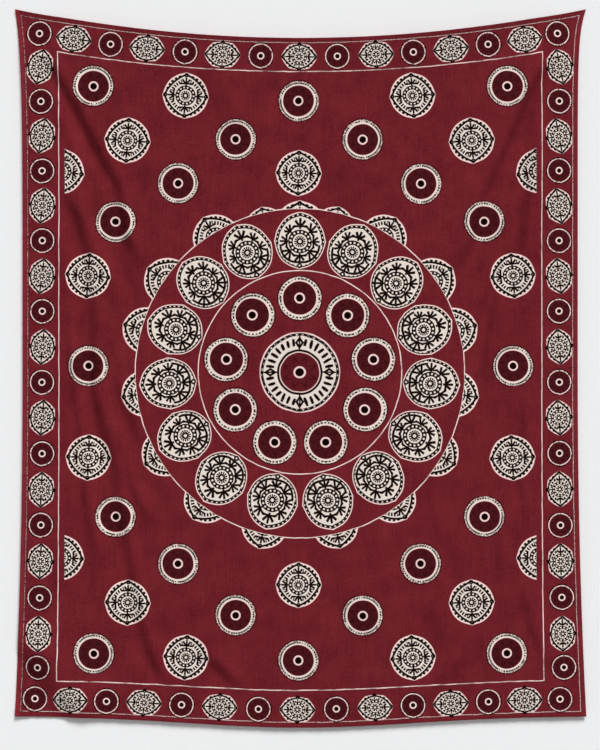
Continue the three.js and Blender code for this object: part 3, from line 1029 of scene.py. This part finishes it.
@dataclass(frozen=True)
class PrintedCotton:
    """Plain-weave cotton sheeting, dyed deep red and printed by hand with cream and black blocks.

    To the eye it is matt and a little uneven: the dye is mottled, thicker yarns streak it along the
    warp and weft, and the inks have soft, broken edges.
    """

    print_: BlockPrint
    red_deep: str = "#54131b"
    red_bright: str = "#842b33"
    cream: str = "#ebded3"
    cream_pink: str = "#fadad4"
    maroon: str = "#47151a"
    black: str = "#120402"
    reverse_strength: float = 0.45
    # Real threads lie 0.4 mm apart; the weave is drawn coarser so that it shows
    thread: float = 1.6
    streak: tuple[float, float] = (5, 110)
    blotch: float = 80
    speckle: float = 5
    wobble: float = 40
    block_wobble: float = 0.035
    line_wobble: float = 4
    line_half: float = 1.9
    line_softness: float = 0.8
    bump: tuple[float, float] = (0.2, 0.3)
    softness: float = 0.008
    roughness: float = 0.9
    specular: float = 0.02

    def material(self, block: Block) -> bpy.types.Material:
        """Make the cloth's material under one block.

        Args:
            block: The block that prints there, or none.

        Returns:
            The material.
        """
        draft = Draft(f"block print cotton {block.name.lower().replace('_', ' ')}", self.softness)
        known = self._coordinates(draft)
        colour = self._ground(draft, known)
        if block in DESIGNS:
            inks = DESIGNS[block].inks(draft, known)
            colour = self._printed(draft, known, colour, inks)
        rate = TAU / (2 * self.thread * MM)
        height = draft.work(f"sin(p * {rate}) * sin(q * {rate}) + streaks * 2", **known)
        strength, depth = self.bump
        normal = draft.add("ShaderNodeBump", {"Height": height, "Strength": strength, "Distance": depth * MM})
        surface = draft.add("ShaderNodeBsdfPrincipled", {
            "Base Color": colour, "Normal": normal, "Roughness": self.roughness,
            "Specular IOR Level": self.specular, "IOR": 1.5})
        draft.add("ShaderNodeOutputMaterial", {"Surface": surface})
        return draft.material

    def _coordinates(self, draft: Draft) -> dict[str, Value]:
        """Read the places that the print and the cloth are drawn by, and the shared unevenness."""
        place = draft.add("ShaderNodeTexCoord", output="Object")
        cloth = draft.add("ShaderNodeUVMap", uv_map="cloth")
        stamp = draft.add("ShaderNodeUVMap", uv_map="stamp")
        wander = draft.add("ShaderNodeTexNoise", {
            "Vector": place, "Scale": 1 / (self.wobble * MM), "Detail": 1.0}, output="Color")
        known = {
            "ink": draft.add("ShaderNodeAttribute", attribute_name="ink", output="Fac"),
            "shown": draft.add("ShaderNodeAttribute", attribute_name="shown", output="Fac"),
            "reverse": draft.add("ShaderNodeAttribute", attribute_name="reverse", output="Fac"),
            "speckle": draft.add("ShaderNodeTexNoise", {
                "Vector": place, "Scale": 1 / (self.speckle * MM), "Detail": 1.0}),
            "blotches": draft.add("ShaderNodeTexNoise", {
                "Vector": place, "Scale": 1 / (self.blotch * MM), "Detail": 3.0}),
        }
        for names, vector in (("x y z", place), ("p q w", cloth), ("a0 b0 c0", stamp), ("wa wb wc", wander)):
            split = draft.add("ShaderNodeSeparateXYZ", {"Vector": vector}).node
            known.update(zip(names.split(), split.outputs))
        known["a"] = draft.work(f"a0 + (wa - 0.5) * {self.block_wobble}", **known)
        known["b"] = draft.work(f"b0 + (wb - 0.5) * {self.block_wobble}", **known)
        narrow, long = (1 / (size * MM) for size in self.streak)
        for name, scale in (("warp", (narrow, long, 1)), ("weft", (long, narrow, 1))):
            stretched = draft.add("ShaderNodeMapping", {"Vector": cloth, "Scale": scale})
            known[name] = draft.add("ShaderNodeTexNoise", {"Vector": stretched, "Scale": 1.0, "Detail": 1.0},
                                    noise_dimensions="2D")
        known["streaks"] = draft.work("warp - 0.5 + (weft - 0.5) * 0.3", **known)
        return known

    def _ground(self, draft: Draft, k: dict[str, Value]) -> Socket:
        """Colour the dyed ground, with the border's lines and the two rings of the centre. The side hems get
        a painted highlight, stronger on the left.
        """
        layout = self.print_
        inner, outer = ([size * MM for size in line] for line in (layout.inner_line, layout.outer_line))
        cx, cz = (size * MM for size in layout.centre)
        half = self.line_half * MM
        soft = draft.softness
        draft.softness = self.line_softness * MM
        wobble = self.line_wobble * MM
        k = dict(k)
        # The side hems are lightened below: a painted highlight, stronger on the left hem than on the right
        k["hem"] = draft.work(f"1 - below(abs(p), {outer[0] + wobble})", **k)
        dye_tone_and_painted_hem_light = draft.work(
            "0.5 + (blotches - 0.5) * 0.7 + streaks * 0.35 + (speckle - 0.5) * 0.8"
            " + hem * (0.2 + 0.2 * (p < 0))", **k)
        colour = draft.mix(dye_tone_and_painted_hem_light, linear(self.red_deep), linear(self.red_bright))
        k["lp"] = draft.work(f"abs(p + (wa - 0.5) * {wobble})", **k)
        k["lq"] = draft.work(f"abs(q + (wb - 0.5) * {wobble})", **k)
        k["inner"] = draft.work(f"abs(max(lp - {inner[0]}, lq - {inner[1]}))", **k)
        k["outer"] = draft.work(f"abs(max(lp - {outer[0]}, lq - {outer[1]}))", **k)
        k["dx"] = draft.work(f"x - {cx} + (wa - 0.5) * {wobble}", **k)
        k["dz"] = draft.work(f"z - {cz} + (wb - 0.5) * {wobble}", **k)
        k["ring"] = draft.work(f"abs(far(dx, dz) - {layout.inner_ring * MM})", **k)
        drop = layout.outer_ring_drop * MM
        k["arch"] = draft.work(f"abs(far(dx, dz + {drop}) - {layout.outer_ring * MM})", **k)
        k["near"] = draft.work("min(inner, min(ring, arch))", **k)
        line = draft.work(
            f"below(near, {half}) * (0.5 + speckle + (wc - 0.45) * 2 - 0.35 * (abs(q) > 1.1))", **k)
        shadow = draft.work(f"below(min(near, outer), {2 * half}) * 0.45", **k)
        faded = draft.work(f"below(outer, {0.7 * half}) * (1.6 * speckle - 0.55 + 0.3 * (p > -1))", **k)
        draft.softness = soft
        colour = draft.mix(shadow, colour, linear(self.maroon))
        colour = draft.mix(draft.work("min(max(faded, 0), 1)", faded=faded), colour, linear(self.cream_pink))
        strength = draft.work("min(max(line, 0), 1) * (1 - 0.5 * reverse)", line=line, **k)
        return draft.mix(strength, colour, linear(self.cream_pink))

    def _printed(self, draft: Draft, k: dict[str, Value], colour: Socket, inks: Inks) -> Socket:
        """Lay a block's inks over the ground, weaker on the back of the cloth."""
        through = draft.work(f"1 - reverse * {1 - self.reverse_strength}", **k)
        worn = draft.work("0.9 + 0.25 * speckle", **k)
        cream = draft.mix(inks.pink, linear(self.cream), linear(self.cream_pink))
        for share, over in ((inks.maroon, linear(self.maroon)), (inks.cream, cream),
                            (inks.black, linear(self.black))):
            strength = draft.work("min(share * worn, 1) * through", share=share, worn=worn, through=through)
            colour = draft.mix(strength, colour, over)
        return colour


@dataclass(frozen=True)
class SewingThread:
    """Spun cotton sewing thread, dyed to match: matt, with a faint twist."""

    light: str = "#7d3338"
    dark: str = "#571a20"
    twist: float = 1.1
    roughness: float = 0.8

    def material(self) -> bpy.types.Material:
        """Make the thread's material."""
        draft = Draft("cotton sewing thread", 0.02)
        place = draft.add("ShaderNodeTexCoord", output="Object")
        twist = draft.add("ShaderNodeTexNoise", {
            "Vector": place, "Scale": 1 / (self.twist * MM), "Detail": 1.0})
        colour = draft.mix(twist, linear(self.dark), linear(self.light))
        surface = draft.add("ShaderNodeBsdfPrincipled", {"Base Color": colour, "Roughness": self.roughness})
        draft.add("ShaderNodeOutputMaterial", {"Surface": surface})
        return draft.material


# The pieces

@dataclass
class Sheet:
    """The cloth: a fine grid laid on the hung shape, thickened backwards and doubled at the hem."""

    hung: HungShape
    print_: BlockPrint
    columns: int = 196
    rows: int = 242
    hem_lines: tuple[float, ...] = (0, 1.5, 6, 10.5, 12.5, 14.5, 17)
    body_thickness: float = 0.8
    hem_thickness: float = 2.0
    margin: float = 1.1
    clip_slack: float = 9
    seed: int = 5

    def build(self) -> bpy.types.Object:
        """Make the sheet.

        Returns:
            The sheet's object, with its print coordinates and materials.
        """
        bpy.ops.object.select_all(action="DESELECT")
        bpy.ops.mesh.primitive_grid_add(x_subdivisions=self.columns, y_subdivisions=self.rows, size=1)
        piece = bpy.context.object
        piece.name = "printed_sheet"
        mesh = piece.data
        mesh.name = "printed_sheet"
        across, down = self._lay_flat(mesh)
        mesh.vertices.foreach_set("co", self.hung.front(across, down).ravel())
        self._thicken(piece, across, down)
        self._dress(mesh, across, down)
        mesh.polygons.foreach_set("use_smooth", np.ones(len(mesh.polygons), bool))
        mesh.update()
        return piece

    def _lay_flat(self, mesh: bpy.types.Mesh) -> tuple[Array, Array]:
        """Find each grid point's distances across and down the cut cloth, with lines along the hem.

        Args:
            mesh: The grid, one unit wide and high around the origin.

        Returns:
            Distances from the left edge and from the top edge.
        """
        places = np.zeros(len(mesh.vertices) * 3)
        mesh.vertices.foreach_get("co", places)
        places = places.reshape(-1, 3)
        flat = []
        for share, length in ((places[:, 0] + 0.5, self.hung.flat_width),
                              (0.5 - places[:, 1], self.hung.flat_height)):
            count = len(np.unique(np.round(share, 6)))
            hem = np.array(self.hem_lines)
            middle = np.linspace(hem[-1], length - hem[-1], count - 2 * len(hem) + 2)[1:-1]
            lines = np.concatenate([hem, middle, length - hem[::-1]])
            flat.append(lines[np.round(share * (count - 1)).astype(int)])
        return flat[0], flat[1]

    def _thicken(self, piece: bpy.types.Object, across: Array, down: Array) -> None:
        """Give the cloth its thickness behind the front, twice over and more along the hem."""
        inside_hem = self.hung.edge_distance(across, down) < self.hung.hem_width
        hem = piece.vertex_groups.new(name="hem")
        hem.add(np.nonzero(inside_hem)[0].tolist(), 1.0, "REPLACE")
        solid = piece.modifiers.new("cloth", "SOLIDIFY")
        solid.thickness = self.hem_thickness * MM
        solid.offset = -1
        solid.vertex_group = "hem"
        solid.thickness_vertex_group = self.body_thickness / self.hem_thickness
        bpy.context.view_layer.objects.active = piece
        bpy.ops.object.modifier_apply(modifier=solid.name)

    def _dress(self, mesh: bpy.types.Mesh, across: Array, down: Array) -> None:
        """Give the cloth its print coordinates and its materials, face by face."""
        count = len(across)
        corners = np.zeros(len(mesh.loops), int)
        mesh.loops.foreach_get("vertex_index", corners)
        starts = np.zeros(len(mesh.polygons), int)
        mesh.polygons.foreach_get("loop_start", starts)
        u, v = 2 * across / self.hung.flat_width - 1, down / self.hung.flat_height
        x, z = self.hung.wall_place(u, v)
        p, q = u * self.print_.half_width, (1 - 2 * v) * self.print_.half_height
        point = corners % count
        face_of = np.repeat(np.arange(len(starts)), np.diff(np.append(starts, len(corners))))
        per_face = np.bincount(face_of)
        face_x, face_z, face_p = (np.bincount(face_of, values[point]) / per_face for values in (x, z, p))
        owner = self._owners(face_x, face_z, face_p)
        stamp_at = owner[face_of]
        local = np.zeros((len(corners), 2))
        shown = np.ones(len(corners))
        for k, stamp in enumerate(self.print_.stamps):
            mine = stamp_at == k
            local[mine] = np.stack(stamp.local(x[point[mine]], z[point[mine]]), axis=-1)
            depth = self.print_.clip_depth(stamp.clip, x[point[mine]], z[point[mine]], p[point[mine]])
            shown[mine] = depth / stamp.size
        self._write_maps(mesh, np.stack([p, q], axis=-1)[point] * MM, local)
        inks = np.random.default_rng(self.seed).uniform(0, 1, len(self.print_.stamps) + 1)
        none = Stamp(Block.NONE, 0, 0, 0, 1)
        stamps = self.print_.stamps + [none]
        self._write_attribute(mesh, "shown", "CORNER", shown)
        self._write_attribute(mesh, "ink", "FACE", inks[owner])
        behind = np.bincount(face_of, corners >= count) == per_face
        self._write_attribute(mesh, "reverse", "FACE", behind)
        cotton = PrintedCotton(self.print_)
        for block in Block:
            mesh.materials.append(cotton.material(block))
        blocks = np.array([s.block.value for s in stamps])
        mesh.polygons.foreach_set("material_index", blocks[owner])

    def _owners(self, x: Array, z: Array, p: Array) -> Array:
        """Find the stamp that prints on each face.

        Args:
            x: The faces' places across the wall.
            z: The faces' places up the wall.
            p: The faces' places across the print.

        Returns:
            The stamps' numbers, -1 where there is none.
        """
        owner = np.full(len(x), -1)
        nearest = np.full(len(x), self.margin)
        for k, stamp in enumerate(self.print_.stamps):
            extent = stamp.extent(x, z)
            printed = self.print_.clip_depth(stamp.clip, x, z, p) > -self.clip_slack
            closer = (extent < nearest) & printed
            owner[closer] = k
            nearest[closer] = extent[closer]
        return owner

    @staticmethod
    def _write_maps(mesh: bpy.types.Mesh, cloth: Array, stamp: Array) -> None:
        """Write the two coordinate maps: metres over the whole print, and shares of a stamp's half size."""
        for name, values in (("cloth", cloth), ("stamp", stamp)):
            layer = mesh.uv_layers.new(name=name, do_init=False)
            layer.uv.foreach_set("vector", values.astype(np.float32).ravel())

    @staticmethod
    def _write_attribute(mesh: bpy.types.Mesh, name: str, domain: str, values: Array) -> None:
        """Write one value for every face or corner."""
        layer = mesh.attributes.new(name, "FLOAT", domain)
        layer.data.foreach_set("value", values.astype(np.float32))


@dataclass
class HemStitches:
    """The hem's running seam: short threads along all four sides, on the front and on the back."""

    hung: HungShape
    cloth: Sheet
    pitch: float = 5
    length: float = 3.4
    thread: float = 0.7
    sides: int = 5
    corner_gap: float = 16
    lift: float = 0.2
    ring_place: float = 0.6

    def build(self) -> bpy.types.Object:
        """Make the stitches as one mesh.

        Returns:
            The stitches' object.
        """
        across, down, step_across, step_down = self._seam()
        half = self.length / 2
        ends = [self.hung.front(across + s * step_across, down + s * step_down) for s in (-half, half)]
        inner = self.hung.front(across - step_down, down + step_across)
        middle = (ends[0] + ends[1]) / 2
        along = ends[1] - ends[0]
        along /= np.linalg.norm(along, axis=1)[:, None]
        out = np.cross(along, inner - middle)
        out /= np.linalg.norm(out, axis=1)[:, None]
        out *= -np.sign(out[:, 1:2])
        lift, behind = self.lift * MM, self.cloth.hem_thickness * MM
        points = [self._threads(middle + out * lift, along, out),
                  self._threads(middle - out * (behind + lift), along, out)]
        mesh = bpy.data.meshes.new("hem_stitches")
        places = np.concatenate(points)
        mesh.from_pydata(places.reshape(-1, 3).tolist(), [], self._faces(len(places)))
        mesh.polygons.foreach_set("use_smooth", np.ones(len(mesh.polygons), bool))
        mesh.materials.append(SewingThread().material())
        mesh.update()
        return show_object("hem_stitches", mesh)

    def _seam(self) -> tuple[Array, Array, Array, Array]:
        """Find the middle of every stitch on the cut cloth, and the way that it runs."""
        inset = self.hung.stitch_inset
        width, height = self.hung.flat_width, self.hung.flat_height
        rows = []
        for length, place in (
            (width, lambda s: (s, inset + 0 * s, 1, 0)),
            (width, lambda s: (width - s, height - inset + 0 * s, -1, 0)),
            (height, lambda s: (width - inset + 0 * s, s, 0, 1)),
            (height, lambda s: (inset + 0 * s, height - s, 0, -1)),
        ):
            along = np.arange(self.corner_gap, length - self.corner_gap, self.pitch)
            across, down, step_across, step_down = place(along)
            rows.append((across, down, np.full(len(along), step_across), np.full(len(along), step_down)))
        return tuple(np.concatenate(parts) for parts in zip(*rows))

    def _threads(self, middle: Array, along: Array, out: Array) -> Array:
        """Shape every stitch as a short thread that tapers into the cloth.

        Args:
            middle: The stitches' middles.
            along: The way that each runs.
            out: The way off the cloth.

        Returns:
            Each stitch's points: two rings and two tips.
        """
        side = np.cross(along, out)
        half, radius = self.length * MM / 2, self.thread * MM / 2
        points = [middle - along * half - out * radius]
        for share in (-self.ring_place, self.ring_place):
            for k in range(self.sides):
                turn = TAU * k / self.sides
                points.append(middle + along * half * share
                              + radius * (math.cos(turn) * out + math.sin(turn) * side))
        points.append(middle + along * half - out * radius)
        return np.stack(points, axis=1)

    def _faces(self, count: int) -> list[tuple[int, ...]]:
        """List the faces of all stitches."""
        n = self.sides
        one = []
        for k in range(n):
            here, there = 1 + k, 1 + (k + 1) % n
            one += [(0, here, there), (here, here + n, there + n, there), (here + n, 2 * n + 1, there + n)]
        size = 2 * n + 2
        return [tuple(corner + size * k for corner in face) for k in range(count) for face in one]


# The room

@dataclass(frozen=True)
class Studio:
    """A pale floor and wall, soft light from above and a camera square to the cloth."""

    frame_height: float = 2.859
    aim: tuple[float, float, float] = (-0.0019, -0.025, -1.2833)
    distance: float = 7.0
    sensor: float = 36.0
    floor_height: float = -3.0
    wall_gap: float = 0.003
    wall_colour: str = "#f3f4f5"
    floor_colour: str = "#828282"
    key_from: tuple[float, float, float] = (1.3, -3.1, 4.8)
    key_strength: float = 3.5
    key_spread: float = 24
    back_from: tuple[float, float, float] = (-1.5, 4.5, 1.2)
    back_power: float = 160
    back_size: float = 3.0
    sky: float = 0.37
    room: float = 14
    wall_middle: float = -0.5

    def build(self) -> None:
        """Make the stage, the lights and the camera."""
        floor = self._plane("studio_floor", (0, 0, self.floor_height), (0, 0, 0))
        wall = self._plane("studio_wall", (0, self.wall_gap, self.wall_middle), (math.pi / 2, 0, 0))
        floor.data.materials.append(self._paint("floor paint", self.floor_colour, False))
        wall.data.materials.append(self._paint("wall paint", self.wall_colour, True))
        wall.visible_shadow = False
        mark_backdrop(floor, wall)
        self._light("key light", "SUN", self.key_from, self.key_strength, angle=math.radians(self.key_spread))
        self._light("back light", "AREA", self.back_from, self.back_power, size=self.back_size)
        self._sky()
        self._camera()

    def _plane(self, name: str, place: tuple, turn: tuple) -> bpy.types.Object:
        """Add one plain surface of the room."""
        bpy.ops.object.select_all(action="DESELECT")
        bpy.ops.mesh.primitive_plane_add(size=self.room, location=place, rotation=turn)
        plane = bpy.context.object
        plane.name = name
        bpy.ops.object.transform_apply()
        return plane

    def _paint(self, name: str, colour: str, one_sided: bool) -> bpy.types.Material:
        """Make a matt paint, one that is seen through from behind where it is one-sided."""
        draft = Draft(name, 0.02)
        surface = draft.add("ShaderNodeBsdfDiffuse", {"Color": linear(colour)})
        if one_sided:
            behind = draft.add("ShaderNodeNewGeometry", output="Backfacing")
            clear = draft.add("ShaderNodeBsdfTransparent")
            surface = draft.add("ShaderNodeMixShader", {0: behind, 1: surface, 2: clear})
        draft.add("ShaderNodeOutputMaterial", {"Surface": surface})
        return draft.material

    def _light(self, name: str, kind: str, place: tuple, power: float, **settings: float) -> None:
        """Add one soft light that faces the middle of the cloth.

        Args:
            name: The light's name.
            kind: Its type.
            place: Where it stands, from the middle of the cloth.
            power: Its strength.
            settings: The size or the angle that makes it soft.
        """
        lamp = bpy.data.lights.new(name, kind)
        lamp.energy = power
        for setting, value in settings.items():
            setattr(lamp, setting, value)
        holder = bpy.data.objects.new(name, lamp)
        holder.location = Vector(self.aim) + Vector(place)
        holder.rotation_euler = Vector(place).to_track_quat("Z", "Y").to_euler()
        bpy.context.scene.collection.objects.link(holder)

    def _sky(self) -> None:
        """Give the room an even, pale surrounding light."""
        scene = bpy.context.scene
        scene.world = bpy.data.worlds.new("studio light")
        scene.world.use_nodes = True
        sky = scene.world.node_tree.nodes["Background"]
        sky.inputs["Color"].default_value = (1, 1, 1, 1)
        sky.inputs["Strength"].default_value = self.sky
        scene.view_settings.view_transform = "Standard"

    def _camera(self) -> None:
        """Set the camera square to the wall, far off, with the photograph's frame."""
        camera = bpy.data.cameras.new("camera")
        camera.sensor_width = self.sensor
        camera.lens = self.sensor * self.distance / self.frame_height
        holder = bpy.data.objects.new("camera", camera)
        holder.location = Vector(self.aim) - Vector((0, self.distance, 0))
        holder.rotation_euler = (math.pi / 2, 0, 0)
        bpy.context.scene.collection.objects.link(holder)
        bpy.context.scene.camera = holder


def write_sizes() -> None:
    """Gather the solid's box and the dressed part's box as lists, without keeping or comparing them."""
    boxes = {"cad": CAD_BOX, "visual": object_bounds()}
    {name: [list(corner) for corner in box] for name, box in boxes.items()}


def main() -> None:
    """Build the sheet, its stitches and the room."""
    logging.basicConfig(level=logging.INFO)
    hung = HungShape()
    layout = BlockPrint(hung)
    layout.lay_out()
    cloth = Sheet(hung, layout)
    sheet = cloth.build()
    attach(sheet, BODY)
    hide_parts(NODE)
    log.info("%s: %d faces, %d stamps", sheet.name, len(sheet.data.polygons), len(layout.stamps))
    stitches = HemStitches(hung, cloth).build()
    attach(stitches, BODY)
    log.info("%s: %d faces", stitches.name, len(stitches.data.polygons))
    Studio().build()
    write_sizes()


if __name__ == "__main__":
    main()
